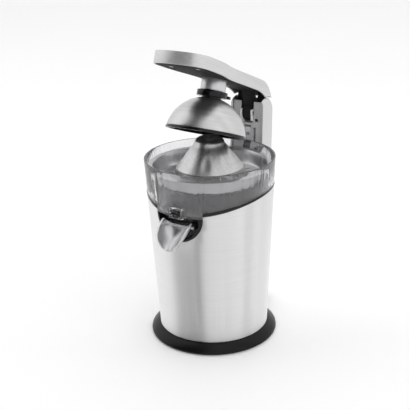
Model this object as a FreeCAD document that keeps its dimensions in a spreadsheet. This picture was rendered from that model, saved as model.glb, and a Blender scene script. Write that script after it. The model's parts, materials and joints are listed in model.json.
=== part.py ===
import FreeCAD, Part
import Sketcher
import math
import os

# Citrus press juicer: a motor in a steel body turns a reamer under a hand lever with a dome.
# Millimetres.  +Z is up, -Y is the front (spout side), +X is the juicer's own left.
# The origin is on the reamer's axis, in the plane the feet stand on.

SIZES = [
    # base
    ("base_radius", 80.4, "outer radius of the base ring at the floor"),
    ("base_shoulder", 70.2, "radius of the base ring where the sleeve stands on it"),
    ("base_height", 12.5, "top of the base ring"),
    ("base_inner", 60, "opening of the base ring"),
    ("foot_height", 1.2, "gap under the base ring, filled by its rubber foot ring"),
    ("foot_width", 7, "width of the rubber foot ring"),
    ("plate_radius", 66, "recess of the bottom plate"),
    ("plate_thick", 2.8, "bottom plate"),
    ("running", 0.3, "gap between pieces that must not touch"),
    ("bearing", 0.06, "radial clearance of a running fit"),
    # sleeve, trim and the curve of their edges
    ("sleeve_foot", 68.9, "outer radius of the sleeve at its lower end"),
    ("sleeve_taper", 0.0507, "growth of the sleeve's radius per millimetre of height"),
    ("sleeve_wall", 1, "steel of the sleeve"),
    ("rim_height", 196, "level of the sleeve's edge at the back"),
    ("dip_radius", 287, "arc by which the edge dips towards the front"),
    ("dip_start", 20, "Y where the dip starts"),
    ("trim_height", 2.6, "black band above the sleeve, at the back"),
    ("trim_dip_radius", 330, "flatter arc of the band's upper edge, which makes it taller in front"),
    ("deck_height", 172, "underside of the deck above the gears"),
    ("deck_thick", 2.5, "deck"),
    ("tower_radius", 24, "tower on the deck"),
    ("tower_top", 206.5, "top of the tower"),
    # spout shield and drip spout
    ("shield_radius", 31.5, "round recess around the spout"),
    ("shield_height", 178, "centre of that recess"),
    ("shield_depth", 7, "how far the shield reaches into the body"),
    ("outlet_half", 9, "half the width of the bowl's outlet"),
    ("outlet_floor", 177, "underside of the bowl's outlet"),
    ("outlet_reach", 80.5, "how far forward the outlet ends"),
    # bowl
    ("bowl_low_radius", 75.4, "bowl below the trim"),
    ("bowl_floor", 178, "underside of the bowl"),
    ("bowl_waist", 77.4, "outer radius of the bowl at its floor's level, above the trim"),
    ("bowl_rim", 80, "outer radius of the bowl's rim"),
    ("bowl_top", 231.6, "top of the bowl"),
    ("bowl_wall", 2.2, "clear plastic"),
    ("chimney_radius", 27.5, "outer radius of the bowl's chimney"),
    ("chimney_top", 207, "top of the chimney"),
    # strainer
    ("strainer_floor", 204, "underside of the strainer's floor"),
    ("strainer_top", 222, "top of the strainer's flange"),
    ("strainer_radius", 68, "strainer's wall"),
    ("strainer_flange", 75.6, "outer radius of the strainer's flange"),
    ("strainer_sheet", 1, "strainer's steel"),
    ("slot_width", 1.8, "juice slot"),
    ("slot_count", 30, "juice slots"),
    # reamer
    ("reamer_base", 212.5, "lower edge of the reamer cone"),
    ("reamer_radius", 42.3, "reamer cone at its lower edge"),
    ("reamer_shoulder_radius", 26.8, "reamer where its nose starts"),
    ("reamer_shoulder", 239, "height where its nose starts"),
    ("reamer_tip", 257, "tip of the reamer"),
    ("reamer_wall", 1.8, "reamer's shell"),
    ("flute_count", 12, "flutes of the reamer"),
    ("flute_radius", 16, "cutter of a flute"),
    ("flute_depth", 1.2, "depth of a flute"),
    # drive
    ("hex_width", 8, "across the flats of the spindle"),
    ("hex_gap", 0.15, "clearance of the hexagon on each flat"),
    ("shaft_radius", 5, "round part of the spindle"),
    ("press_travel", 3, "how far the spindle is pressed down"),
    ("gear_module", 1, "tooth size"),
    ("output_teeth", 56, "gear on the spindle"),
    ("idler_small_teeth", 14, "small wheel of the idler"),
    ("idler_large_teeth", 48, "large wheel of the idler"),
    ("pinion_teeth", 12, "motor pinion"),
    ("backlash", 0.3, "play between teeth"),
    ("case_radius", 66, "gear case"),
    ("case_bottom", 128, "underside of the gear case"),
    ("case_floor", 3, "floor of the gear case"),
    ("case_wall", 2.5, "wall of the gear case"),
    ("case_top", 164, "joint between case and cover"),
    ("output_bottom", 152, "underside of the output gear"),
    ("output_width", 10, "output gear's face width"),
    ("idler_bottom", 143, "underside of the idler"),
    ("idler_large_width", 7, "face width of the large idler wheel"),
    ("motor_radius", 26, "motor can"),
    ("motor_bottom", 62, "lower end of the motor"),
    ("axle_radius", 3, "idler axle and hinge pin"),
    ("post_radius", 4, "chassis post"),
    # lever and its hinge
    ("hinge_y", 105, "hinge pin"),
    ("hinge_z", 262, "hinge pin"),
    ("lift", 21.5, "how far the lever is raised at rest, in degrees"),
    ("arm_bottom", 286, "underside of the lever when it is closed"),
    ("arm_thick", 14.5, "height of the lever"),
    ("arm_wall", 2.2, "lever's shell"),
    ("paddle_half", 35.5, "half the width of the lever's paddle"),
    ("paddle_tip", 98, "how far forward the lever reaches"),
    ("paddle_front_radius", 62, "lever's front edge"),
    ("paddle_corner", 20.9, "lever's front corners"),
    ("paddle_front_half", 20.5, "half the width of the front edge's arc"),
    ("paddle_widest", 62, "where the sides start to narrow"),
    ("shoulder_drop", 4.5, "narrowing over the shoulder"),
    ("shoulder_length", 35, "length of the shoulder"),
    ("waist_half", 24.5, "half the width of the lever's stem"),
    ("waist_y", 19.5, "where the stem starts"),
    ("stem_half", 23.5, "half the width of lever and column at the hinge"),
    ("top_flat_end", 75, "where the lever's top starts to fall"),
    ("top_fall_radius", 45, "arc by which it falls"),
    ("cheek_radius", 21, "round top of the column"),
    ("knuckle_radius", 12, "lever's knuckle"),
    ("crank_radius", 9, "crank of the carriage"),
    ("crank_pin", 2, "crank pin"),
    # dome
    ("neck_radius", 15.3, "neck under the lever"),
    ("neck_bottom", 271, "collar's top face"),
    ("collar_radius", 18.4, "dome's collar"),
    ("collar_bottom", 264, "apex of the dome"),
    ("dome_radius", 48.5, "dome at its rim"),
    ("dome_rim", 220, "rim of the dome when the lever is closed"),
    ("dome_wall", 1.6, "dome's steel"),
    ("liner_wall", 1.5, "dome's liner"),
    ("spigot_radius", 9.2, "spigot of the neck"),
    # column
    ("column_wall", 2.5, "column's shell"),
    ("column_lean", 0.06, "lean of the column's back"),
    ("column_front", 94.2, "front edge of the cheeks at the height of the hinge"),
    ("front_lean", 0.06, "lean of that edge"),
    ("panel_top", 249.5, "sill of the front panel's slot"),
    ("panel_high", 277, "top of the front panel beside the lever's web"),
    ("panel_bottom", 208.3, "lower edge of the front panel"),
    ("foot_front", 81, "front of the column's foot"),
    ("rod_radius", 1.6, "guide rod"),
]


class Size:
    """A size with the sheet's expression for it, so that sums bind to the sheet."""

    def __init__(self, value, text):
        self.value = float(value)
        self.text = text

    def join(self, sign, other, value, swap=False):
        other_text = other.text if isinstance(other, Size) else repr(float(other))
        first, second = (other_text, self.text) if swap else (self.text, other_text)
        return Size(value, "(%s %s %s)" % (first, sign, second))

    def __add__(self, other):
        return self.join("+", other, self.value + number(other))

    def __radd__(self, other):
        return self.join("+", other, number(other) + self.value, True)

    def __sub__(self, other):
        return self.join("-", other, self.value - number(other))

    def __rsub__(self, other):
        return self.join("-", other, number(other) - self.value, True)

    def __mul__(self, other):
        return self.join("*", other, self.value * number(other))

    def __rmul__(self, other):
        return self.join("*", other, number(other) * self.value, True)

    def __truediv__(self, other):
        return self.join("/", other, self.value / number(other))

    def __neg__(self):
        return 0 - self

    def root(self):
        return Size(math.sqrt(self.value), "sqrt(%s)" % self.text)


def number(size):
    return size.value if isinstance(size, Size) else float(size)


doc = FreeCAD.newDocument("citrus_press")
sheet = doc.addObject("Spreadsheet::Sheet", "Sizes")
for row, (alias, value, meaning) in enumerate(SIZES, start=1):
    sheet.set("A%d" % row, meaning)
    sheet.set("B%d" % row, str(value))
    sheet.setAlias("B%d" % row, alias)
doc.recompute()
S = type("Named", (), {alias: Size(value, "Sizes." + alias) for alias, value, meaning in SIZES})

DIRECTIONS = {
    "X": FreeCAD.Rotation(FreeCAD.Vector(0, 1, 0), 90),
    "Y": FreeCAD.Rotation(FreeCAD.Vector(1, 0, 0), -90),
    "Z": FreeCAD.Rotation(),
}
HINGE = FreeCAD.Vector(0, S.hinge_y.value, S.hinge_z.value)
RAISED = FreeCAD.Placement(
    FreeCAD.Vector(0, 0, 0), FreeCAD.Rotation(FreeCAD.Vector(-1, 0, 0), S.lift.value), HINGE)
subparts = []


def bind(thing, **sizes):
    """Bind properties to sizes; plain numbers are set as they are."""
    for prop, size in sizes.items():
        if isinstance(size, Size):
            thing.setExpression(prop, size.text)
        else:
            setattr(thing, prop, size)
    return thing


def place(thing, at, direction="Z"):
    """Put a primitive's origin at a point, with its own Z along a row axis."""
    thing.Placement = FreeCAD.Placement(FreeCAD.Vector(*[number(c) for c in at]), DIRECTIONS[direction])
    for axis, coordinate in zip("xyz", at):
        if isinstance(coordinate, Size):
            thing.setExpression("Placement.Base." + axis, coordinate.text)
    return thing


def rod(radius, length, at, direction="Z"):
    return place(bind(doc.addObject("Part::Cylinder", "Rod"), Radius=radius, Height=length), at, direction)


def cone(low, high, length, at):
    thing = bind(doc.addObject("Part::Cone", "Cone"), Radius1=low, Radius2=high, Height=length)
    return place(thing, at)


def hexagon(width, length, at):
    circumradius = width / (2 * math.cos(math.pi / 6))
    thing = bind(doc.addObject("Part::Prism", "Hexagon"), Circumradius=circumradius, Height=length)
    return place(thing, at)


def block(low, high):
    """Box between two corners."""
    spans = [b - a for a, b in zip(low, high)]
    thing = bind(doc.addObject("Part::Box", "Block"), Length=spans[0], Width=spans[1], Height=spans[2])
    return place(thing, low)


def cut(base, *tools):
    for tool in tools:
        result = doc.addObject("Part::Cut", "Cut")
        result.Base = base
        result.Tool = tool
        base = result
    return base


def fuse(*things):
    result = doc.addObject("Part::MultiFuse", "Fuse")
    result.Shapes = list(things)
    return result


def common(*things):
    result = doc.addObject("Part::MultiCommon", "Common")
    result.Shapes = list(things)
    return result


def group(*things):
    result = doc.addObject("Part::Compound", "Group")
    result.Links = list(things)
    return result


def tube(outer, inner, length, at, direction="Z"):
    return cut(rod(outer, length, at, direction), rod(inner, length, at, direction))


def shape_feature(shape, at=(0, 0, 0)):
    """A sub-part whose shape comes from Part's own functions."""
    thing = doc.addObject("Part::Feature", "Shape")
    thing.Shape = shape
    return place(thing, at)


def node(label, thing, raised=False):
    """Name a finished sub-part; those of the lever are modelled closed and raised here."""
    if raised:
        if any("Placement" in path for path, _ in thing.ExpressionEngine):
            thing = group(thing)
        thing.Placement = RAISED.multiply(thing.Placement)
    thing.Label = label
    subparts.append(thing)
    return thing


def arc_between(start, end, radius):
    """Minor arc from start to end; a positive radius curves to the left."""
    middle = (start + end) * 0.5
    chord = end - start
    height = math.sqrt(max(radius * radius - chord.Length ** 2 / 4, 0))
    left = FreeCAD.Vector(-chord.y, chord.x, 0).normalize()
    centre = middle + left * (height if radius > 0 else -height)
    first, last = (start, end) if radius > 0 else (end, start)
    circle = Part.Circle(centre, FreeCAD.Vector(0, 0, 1), abs(radius))
    angles = [math.atan2(p.y - centre.y, p.x - centre.x) for p in (first, last)]
    if angles[1] <= angles[0]:
        angles[1] += 2 * math.pi
    return Part.ArcOfCircle(circle, *angles)


def outline(body, plane, points):
    """Closed sketch through points (x, y) or (x, y, radius of the arc that arrives there)."""
    sketch = body.newObject("Sketcher::SketchObject", "Outline")
    base = [o for o in body.Origin.OriginFeatures if o.Role == plane]
    sketch.AttachmentSupport = [(base[0], "")]
    sketch.MapMode = "FlatFace"
    corners = [FreeCAD.Vector(number(p[0]), number(p[1]), 0) for p in points]
    ends = []
    for index, point in enumerate(points):
        start, end = corners[index - 1], corners[index]
        if len(point) == 3:
            edge = sketch.addGeometry(arc_between(start, end, number(point[2])))
            ends.append((edge, 1, 2) if number(point[2]) > 0 else (edge, 2, 1))
            radius = sketch.addConstraint(Sketcher.Constraint("Radius", edge, abs(number(point[2]))))
            if isinstance(point[2], Size):
                sign = "" if point[2].value > 0 else "-1 * "
                sketch.setExpression("Constraints[%d]" % radius, sign + point[2].text)
        else:
            ends.append((sketch.addGeometry(Part.LineSegment(start, end)), 1, 2))
    for index, point in enumerate(points):
        edge, _, tail = ends[index]
        following, head, _ = ends[(index + 1) % len(points)]
        sketch.addConstraint(Sketcher.Constraint("Coincident", edge, tail, following, head))
        for kind, coordinate in (("DistanceX", point[0]), ("DistanceY", point[1])):
            place_at = sketch.addConstraint(
                Sketcher.Constraint(kind, -1, 1, edge, tail, number(coordinate)))
            if isinstance(coordinate, Size):
                sketch.setExpression("Constraints[%d]" % place_at, coordinate.text)
    return sketch


def turned(points):
    """Body turned about Z from a half section of (radius, height) points."""
    body = doc.addObject("PartDesign::Body", "Turned")
    sketch = outline(body, "XZ_Plane", points)
    turn = body.newObject("PartDesign::Revolution", "Turn")
    turn.Profile = sketch
    turn.ReferenceAxis = (sketch, ["V_Axis"])
    turn.Angle = 360
    return body


def padded(plane, points, length, start=None):
    """Body padded from an outline: symmetric about its plane, or upwards from start."""
    body = doc.addObject("PartDesign::Body", "Padded")
    sketch = outline(body, plane, points)
    pad = body.newObject("PartDesign::Pad", "Pad")
    pad.Profile = sketch
    if start is None:
        pad.SideType = "Symmetric"
    else:
        sketch.setExpression("AttachmentOffset.Base.z", start.text)
    bind(pad, Length=length)
    return body


def sleeve_radius(height):
    """Outer radius of the sleeve at a height."""
    return S.sleeve_foot + S.sleeve_taper * (height - S.base_height)


def sleeve_cone(offset, low, high):
    return cone(sleeve_radius(low) + offset, sleeve_radius(high) + offset, high - low, (0, 0, low))


def under_edge(lift, arc):
    """Everything below the sleeve's edge, raised by lift: flat at the back, an arc in front."""
    reach = 2 * S.bowl_rim
    back = block((-S.bowl_rim - 20, S.dip_start, -50.0), (S.bowl_rim + 20, reach, S.rim_height + lift))
    front = rod(arc, reach + 40, (-S.bowl_rim - 20, S.dip_start, S.rim_height + lift - arc), "X")
    return fuse(back, front)


# ---- base ------------------------------------------------------------------------------------
ring_bottom = S.foot_height
ledge = ring_bottom + 0.3 + S.plate_thick
ring = turned([
    (S.base_inner, ledge),
    (S.plate_radius, ledge),
    (S.plate_radius, ring_bottom),
    (S.base_radius - 0.6, ring_bottom),
    (S.base_radius, ring_bottom + 1.5),
    (S.base_radius - 0.4, ring_bottom + 3.4),
    (S.base_shoulder, S.base_height, 30),
    (S.base_inner, S.base_height),
])
lobe_front = S.plate_radius + 4
lobe_back = S.hinge_y + S.cheek_radius - S.column_lean * S.hinge_z + 0.5
lobe_corner = 6
lobe_half = S.stem_half
lobe = padded("XY_Plane", [
    (-lobe_half, lobe_front),
    (lobe_half, lobe_front),
    (lobe_half, lobe_back - lobe_corner),
    (lobe_half - lobe_corner, lobe_back, lobe_corner),
    (-lobe_half + lobe_corner, lobe_back),
    (-lobe_half, lobe_back - lobe_corner, lobe_corner),
], S.base_height - ring_bottom, ring_bottom)
screw_circle = (S.plate_radius + S.base_inner) / 2
screw_shank = 1.5
gland_height = (ring_bottom + S.base_height) / 2
gland_radius = 4
DIAGONALS = [(math.cos(a), math.sin(a)) for a in [math.radians(45 + 90 * i) for i in range(4)]]
screw_spots = [(screw_circle * x, screw_circle * y) for x, y in DIAGONALS]
ring_holes = [rod(screw_shank, 7, (x, y, ledge - 0.5)) for x, y in screw_spots]
gland_hole = rod(gland_radius + 0.05, 80, (0, S.base_inner - 10, gland_height), "Y")
node("base_ring", cut(fuse(ring, lobe), gland_hole, *ring_holes))
plate = rod(S.plate_radius - S.running, S.plate_thick, (0, 0, ring_bottom + 0.3))
plate_holes = [rod(screw_shank + 0.2, 9, (x, y, 0)) for x, y in screw_spots]
head_holes = [rod(2.9, 2, (x, y, ring_bottom)) for x, y in screw_spots]
vent = 8
vents = [block((-vent * 2.0, i * vent - 1.5, 0), (vent * 2.0, i * vent + 1.5, 9)) for i in range(-2, 3)]
node("base_plate", cut(plate, *plate_holes, *head_holes, *vents))


def screw(x, y, head_z, shank_length, shank=screw_shank, head=2.6, head_height=1.6, up=True):
    """Pan-head screw along Z; its head's outer face is at head_z and it points up or down."""
    if up:
        return fuse(rod(head, head_height, (x, y, head_z)),
                    rod(shank, shank_length, (x, y, head_z + head_height)))
    return fuse(rod(head, head_height, (x, y, head_z - head_height)),
                rod(shank, shank_length, (x, y, head_z - head_height - shank_length)))


node("base_screws", group(*[screw(x, y, ring_bottom + 0.4, 6) for x, y in screw_spots]))
foot_circle = (S.plate_radius + S.base_radius) / 2
node("foot_ring", tube(foot_circle + S.foot_width / 2, foot_circle - S.foot_width / 2, S.foot_height,
                       (0, 0, 0)))
gland_back = lobe_back + 3
gland_start = S.plate_radius + 1
node("cord_inlet", cut(
    fuse(rod(gland_radius, gland_back - gland_start, (0, gland_start, gland_height), "Y"),
         rod(gland_radius + 0.9, 2.5, (0, lobe_back + 0.05, gland_height), "Y")),
    rod(2.4, 90, (0, S.base_inner - 10, gland_height), "Y")))

# ---- steel sleeve, trim, deck ----------------------------------------------------------------
edge_top = S.rim_height + 20
sleeve_hollow = sleeve_cone(-S.sleeve_wall, S.base_height, edge_top)
shield_hole = rod(S.shield_radius, 60, (0, -S.bowl_rim - 20, S.shield_height), "Y")
bib_half = S.shield_radius
notch = block((-bib_half, -S.bowl_rim - 20, S.shield_height), (bib_half, -S.case_radius + 20, S.bowl_top))
node("body_sleeve", cut(common(sleeve_cone(0, S.base_height, edge_top), under_edge(0, S.dip_radius)),
                        sleeve_hollow, shield_hole, notch))
trim_low = S.rim_height - 30
trim_ring = cut(sleeve_cone(0.4, trim_low, edge_top),
                rod(S.bowl_low_radius + S.running, 80, (0, 0, trim_low)))
outlet_way = block((-S.outlet_half - S.running, -S.outlet_reach - 10, S.outlet_floor - S.running),
                   (S.outlet_half + S.running, -S.case_radius, S.bowl_top))
trim_band_solid = common(trim_ring, under_edge(S.trim_height, S.trim_dip_radius))
node("deck_trim", cut(trim_band_solid, under_edge(0, S.dip_radius), notch))
deck_top = S.deck_height + S.deck_thick
tower_cap = 3
bush_radius = 8
boss_radius = 11
bush_low = S.tower_top - 9.5
boss_low = S.tower_top - 16
deck_edge = sleeve_radius(S.deck_height) - S.sleeve_wall - S.running
DECK_BOSSES = [(math.cos(a), math.sin(a)) for a in [math.radians(d) for d in (60, 180, 300)]]
cover_top = S.case_top + 3
deck_bosses = [rod(S.post_radius, S.deck_height - cover_top, (x * 50, y * 50, cover_top))
               for x, y in DECK_BOSSES]
deck = fuse(rod(deck_edge, S.deck_thick, (0, 0, S.deck_height)),
            rod(S.tower_radius, S.tower_top - S.deck_height, (0, 0, S.deck_height)), *deck_bosses)
tower_wall = 2.5
tower_room = cut(rod(S.tower_radius - tower_wall, S.tower_top - tower_cap - S.deck_height + 1,
                     (0, 0, S.deck_height - 1)),
                 rod(boss_radius, 40, (0, 0, boss_low)))
shield_back = sleeve_radius(S.deck_height) - S.shield_depth - S.running
shield_bay = cut(block((-S.shield_radius - S.running, -S.bowl_rim - 10, S.deck_height - 1),
                       (S.shield_radius + S.running, 0.0, deck_top + 1)),
                 rod(shield_back, 30, (0, 0, S.deck_height - 10)))
node("motor_deck", cut(deck, tower_room, shield_bay, rod(bush_radius, 20, (0, 0, bush_low)),
                       rod(S.shaft_radius + 0.6, 60, (0, 0, S.deck_height - 10)),
                       rod(bush_radius, 4.2, (0, 0, boss_low))))
node("spindle_bush", tube(bush_radius, S.shaft_radius + S.bearing, 9, (0, 0, bush_low)))
node("shaft_seal", tube(bush_radius, S.shaft_radius + S.bearing, 4, (0, 0, boss_low + 0.2)))
# ---- chassis, gear case, motor and gears -----------------------------------------------------
POSTS = [(math.cos(a), math.sin(a)) for a in [math.radians(d) for d in (30, 200, 270)]]
post_circle = S.base_inner - 1
post_height = S.case_bottom - S.base_height
posts = [rod(S.post_radius, post_height, (post_circle * x, post_circle * y, S.base_height))
         for x, y in POSTS]
chassis_ring = tube(S.sleeve_foot - S.sleeve_wall - S.running, S.base_inner - S.post_radius - 3, 4,
                    (0, 0, S.base_height))
node("chassis", fuse(chassis_ring, *posts))

tooth = S.gear_module.value


def pitch_radius(teeth):
    return S.gear_module * teeth / 2


idler_distance = pitch_radius(S.output_teeth + S.idler_small_teeth)
motor_distance = pitch_radius(S.idler_large_teeth + S.pinion_teeth)
motor_turn = math.radians(75)
idler_at = (-idler_distance, 0)
motor_at = (motor_distance * math.cos(motor_turn) - idler_distance, motor_distance * math.sin(motor_turn))


def gear(teeth, width, tooth_angle):
    """Spur gear of straight facets through points of the involute, one tooth at tooth_angle."""
    count = int(number(teeth))
    pitch = tooth * count / 2
    base = pitch * math.cos(math.radians(20))
    root, tip = pitch - 1.25 * tooth, pitch + 0.92 * tooth

    def roll(radius):
        angle = math.acos(min(1, base / radius))
        return math.tan(angle) - angle

    def half(radius):
        play = S.backlash.value / (4 * pitch)
        return math.pi / (2 * count) - play + roll(pitch) - roll(max(radius, base))

    heights = [root, max(base, root + 0.05), pitch - 0.3 * tooth, pitch + 0.3 * tooth, tip]
    corners = []
    for index in range(count):
        middle = tooth_angle + 2 * math.pi * index / count
        flank = [(r, middle - half(r)) for r in heights]
        flank += [(r, middle + half(r)) for r in reversed(heights)]
        corners += [FreeCAD.Vector(r * math.cos(a), r * math.sin(a), 0) for r, a in flank]
    wire = Part.makePolygon(corners + corners[:1])
    return Part.Face(wire).extrude(FreeCAD.Vector(0, 0, number(width)))


floor_top = S.case_bottom + S.case_floor
case_height = S.case_top - S.case_bottom
case_inner = S.case_radius - S.case_wall
stem_radius = 3
stem_hole = stem_radius + 0.4
motor_boss = 8
case_shell = cut(rod(S.case_radius, case_height, (0, 0, S.case_bottom)),
                 rod(case_inner, case_height, (0, 0, floor_top)))
switch_half = 10
switch_top = S.case_bottom - 6.5
lug_low = switch_top - 12
lug_near = switch_half + S.running
lug_far = lug_near + 3
lugs = [block((lug_near, -3.5, lug_low), (lug_far, 3.5, S.case_bottom + 1)),
        block((-lug_far, -3.5, lug_low), (-lug_near, 3.5, S.case_bottom + 1))]
idler_seat = rod(S.axle_radius + 2.5, S.idler_bottom - S.running - floor_top + 1,
                 (*idler_at, floor_top - 1))
screw_reach = 16
motor_screw_at = [(motor_at[0], motor_at[1] + screw_reach), (motor_at[0], motor_at[1] - screw_reach)]
case_holes = [rod(S.axle_radius, 60, (*idler_at, floor_top)), rod(stem_hole, 20, (0, 0, S.case_bottom - 5)),
              rod(motor_boss + S.running, 20, (*motor_at, S.case_bottom - 5))]
case_holes += [rod(screw_shank + 0.2, 20, (x, y, S.case_bottom - 5)) for x, y in motor_screw_at]
node("gear_case", cut(fuse(case_shell, *lugs, idler_seat), *case_holes))
journal_radius = 10
cover_holes = [rod(journal_radius + S.bearing, 20, (0, 0, S.case_top - 5))]
CASE_SCREWS = [(math.cos(a), math.sin(a)) for a in [math.radians(d) for d in (20, 110, 225, 315)]]
case_screw_circle = S.case_radius - 5
case_screw_spots = [(case_screw_circle * x, case_screw_circle * y) for x, y in CASE_SCREWS]
cover_holes += [rod(screw_shank, 20, (x, y, S.case_top - 5)) for x, y in case_screw_spots]
node("gear_cover", cut(rod(S.case_radius, cover_top - S.case_top, (0, 0, S.case_top)), *cover_holes))
node("case_screws", group(*[screw(x, y, cover_top + 1.6, 3, up=False) for x, y in case_screw_spots]))

can_top = S.case_bottom
motor_height = can_top - S.motor_bottom
can = fuse(rod(S.motor_radius, motor_height, (*motor_at, S.motor_bottom)),
           rod(motor_boss, 2, (*motor_at, can_top)))
pinion_shaft = 2.5
shaft_depth = 20
can_holes = [rod(pinion_shaft + S.bearing, 40, (*motor_at, can_top - shaft_depth))]
can_holes += [rod(screw_shank, 8, (x, y, can_top - 5)) for x, y in motor_screw_at]
node("motor_can", cut(can, *can_holes))
node("motor_screws", group(*[screw(x, y, floor_top + 1.6, 6, up=False) for x, y in motor_screw_at]))
brush_cap = rod(S.motor_radius - 7, 6, (*motor_at, S.motor_bottom - 6))
node("motor_end_cap", brush_cap)

output_gear = gear(S.output_teeth, S.output_width, math.pi)
output_bore = hexagon(S.hex_width + 2 * S.hex_gap, 60, (0, 0, S.output_bottom - 20))
hub_top = cover_top + 2.5
output_hub = rod(journal_radius, hub_top - S.output_bottom - S.output_width,
                 (0, 0, S.output_bottom + S.output_width))
node("output_gear", cut(fuse(shape_feature(output_gear, (0, 0, S.output_bottom)), output_hub), output_bore))
node("gear_circlip", tube(journal_radius + 3.5, journal_radius, 1.4, (0, 0, cover_top + S.running)))
gear_angle = motor_turn
small_width = S.output_bottom + S.output_width - S.idler_bottom - S.idler_large_width
small_gear = gear(S.idler_small_teeth, small_width, math.pi / S.idler_small_teeth.value)
large_gear = gear(S.idler_large_teeth, S.idler_large_width, gear_angle)
idler = fuse(shape_feature(large_gear, (*idler_at, S.idler_bottom)),
             shape_feature(small_gear, (*idler_at, S.idler_bottom + S.idler_large_width)))
node("idler_gear", cut(idler, rod(S.axle_radius + S.bearing, 60, (*idler_at, S.idler_bottom - 10))))
node("idler_axle", rod(S.axle_radius, S.case_top - floor_top, (*idler_at, floor_top)))
pinion_angle = gear_angle + math.pi + math.pi / S.pinion_teeth.value
pinion = gear(S.pinion_teeth, S.idler_large_width + 2, pinion_angle)
node("motor_pinion", fuse(shape_feature(pinion, (*motor_at, S.idler_bottom - 1)),
                          rod(pinion_shaft,
                              S.idler_bottom + S.idler_large_width + 3 - can_top + shaft_depth - 1,
                              (*motor_at, can_top - shaft_depth + 1))))

# ---- spindle and the switch under it ---------------------------------------------------------
button_top = S.output_bottom - 6.2
button_low = button_top - 4.8
spindle_low = button_top + 0.2
hex_top = hub_top + S.press_travel + 1
collar_start = S.tower_top + 1
spindle_top = S.reamer_shoulder - 7
node("thrust_button", fuse(rod(8, button_top - button_low, (0, 0, button_low)),
                           rod(stem_radius, button_low - S.case_bottom + 2, (0, 0, S.case_bottom - 2))))
node("drive_spindle", fuse(hexagon(S.hex_width, hex_top - spindle_low, (0, 0, spindle_low)),
                           rod(S.shaft_radius, collar_start - hex_top, (0, 0, hex_top)),
                           hexagon(S.hex_width, spindle_top - collar_start, (0, 0, collar_start))))
spring_height = button_low - floor_top
spring_wire = 0.6
spring_coil = 5.4
spring_seat = 0.25


def coil_spring(radius, wire, height, turns):
    """Helical spring whose wire's centre starts at its origin, for a space of this height."""
    rise = height - 2 * wire - 2 * spring_seat
    path = Part.Wire(Part.makeHelix(rise / turns, rise, radius))
    section = Part.Wire(Part.makeCircle(wire, FreeCAD.Vector(radius, 0, 0), FreeCAD.Vector(0, 1, 0)))
    return path.makePipeShell([section], True, True)


node("return_spring", shape_feature(coil_spring(spring_coil, spring_wire, number(spring_height), 3),
                                    (0, 0, floor_top + spring_wire + spring_seat)))
plunger_radius = 1.5
switch_low = lug_low + 0.5
node("micro_switch", cut(block((-switch_half, -3.5, switch_low), (switch_half, 3.5, switch_top)),
                         rod(plunger_radius + S.bearing, 20, (0, 0, switch_top - 8))))
node("switch_plunger", rod(plunger_radius, 8.8, (0, 0, switch_top - 4.5)))

# ---- juice bowl, strainer, reamer ------------------------------------------------------------
floor_height = S.bowl_floor + S.bowl_wall
bib_room = block((-bib_half + S.running, -S.bowl_rim - 20, S.bowl_floor - 10),
                 (bib_half - S.running, -S.case_radius + 20, S.bowl_top))
bowl_upper = cut(cone(S.bowl_waist, S.bowl_rim, S.bowl_top - S.bowl_floor, (0, 0, S.bowl_floor)),
                 cut(under_edge(S.trim_height, S.trim_dip_radius), bib_room))
bowl_lower = rod(S.bowl_low_radius, S.rim_height + S.trim_height + 2 - S.bowl_floor, (0, 0, S.bowl_floor))
outlet = block((-S.outlet_half, -S.outlet_reach, S.outlet_floor), (S.outlet_half, -S.case_radius,
                                                                    S.outlet_floor + 13))
room = cone(S.bowl_low_radius - S.bowl_wall, S.bowl_rim - S.bowl_wall, S.bowl_top - floor_height,
            (0, 0, floor_height))
chimney_bore = S.tower_radius + 1.3
shelf_height = 4
chimney = fuse(rod(S.chimney_radius, S.chimney_top - S.bowl_floor, (0, 0, S.bowl_floor)),
               rod(S.chimney_radius + 3.5, shelf_height, (0, 0, S.strainer_floor - shelf_height)))
outlet_room = block((-S.outlet_half + S.bowl_wall, -S.outlet_reach - 10, S.outlet_floor + S.bowl_wall),
                    (S.outlet_half - S.bowl_wall, -S.case_radius + 10, S.outlet_floor + 11))
basin = cut(fuse(bowl_upper, bowl_lower, outlet), room)
node("juice_bowl", cut(fuse(basin, chimney), outlet_room, rod(chimney_bore, 60, (0, 0, S.bowl_floor - 10))))
collar_inner = S.chimney_radius + S.running
sheet_steel = S.strainer_sheet
plateau_radius = S.reamer_radius + 2
dish = turned([
    (collar_inner, S.strainer_floor),
    (S.strainer_radius - 2, S.strainer_floor),
    (S.strainer_radius + sheet_steel, S.strainer_floor + 3),
    (S.strainer_radius + 3, S.strainer_top - sheet_steel),
    (S.strainer_flange, S.strainer_top - sheet_steel),
    (S.strainer_flange, S.strainer_top),
    (S.strainer_radius + 2, S.strainer_top),
    (S.strainer_radius - sheet_steel, S.strainer_floor + 3.4),
    (S.strainer_radius - 2.4, S.strainer_floor + sheet_steel),
    (plateau_radius, S.strainer_floor + sheet_steel),
    (plateau_radius - 1, S.strainer_floor + 3.4),
    (collar_inner, S.strainer_floor + 3.4),
])
slots = []
for index in range(int(S.slot_count.value)):
    slot = block((plateau_radius + 1.5, -S.slot_width / 2, S.strainer_floor - 1),
                 (plateau_radius + 13.5, S.slot_width / 2, S.strainer_floor + 2))
    turn = FreeCAD.Placement(FreeCAD.Vector(), FreeCAD.Rotation(FreeCAD.Vector(0, 0, 1),
                                                                360 * index / S.slot_count.value))
    holder = doc.addObject("Part::Compound", "Slot")
    holder.Links = [slot]
    holder.Placement = turn
    slots.append(holder)
node("strainer", cut(dish, fuse(*slots)))
side_run = S.reamer_shoulder - S.reamer_base
side_fall = S.reamer_radius - S.reamer_shoulder_radius
nose_rise = S.reamer_tip - S.reamer_shoulder
nose_span = S.reamer_shoulder_radius
nose_radius = (nose_span * nose_span + nose_rise * nose_rise) / (2 * nose_rise)
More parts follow.
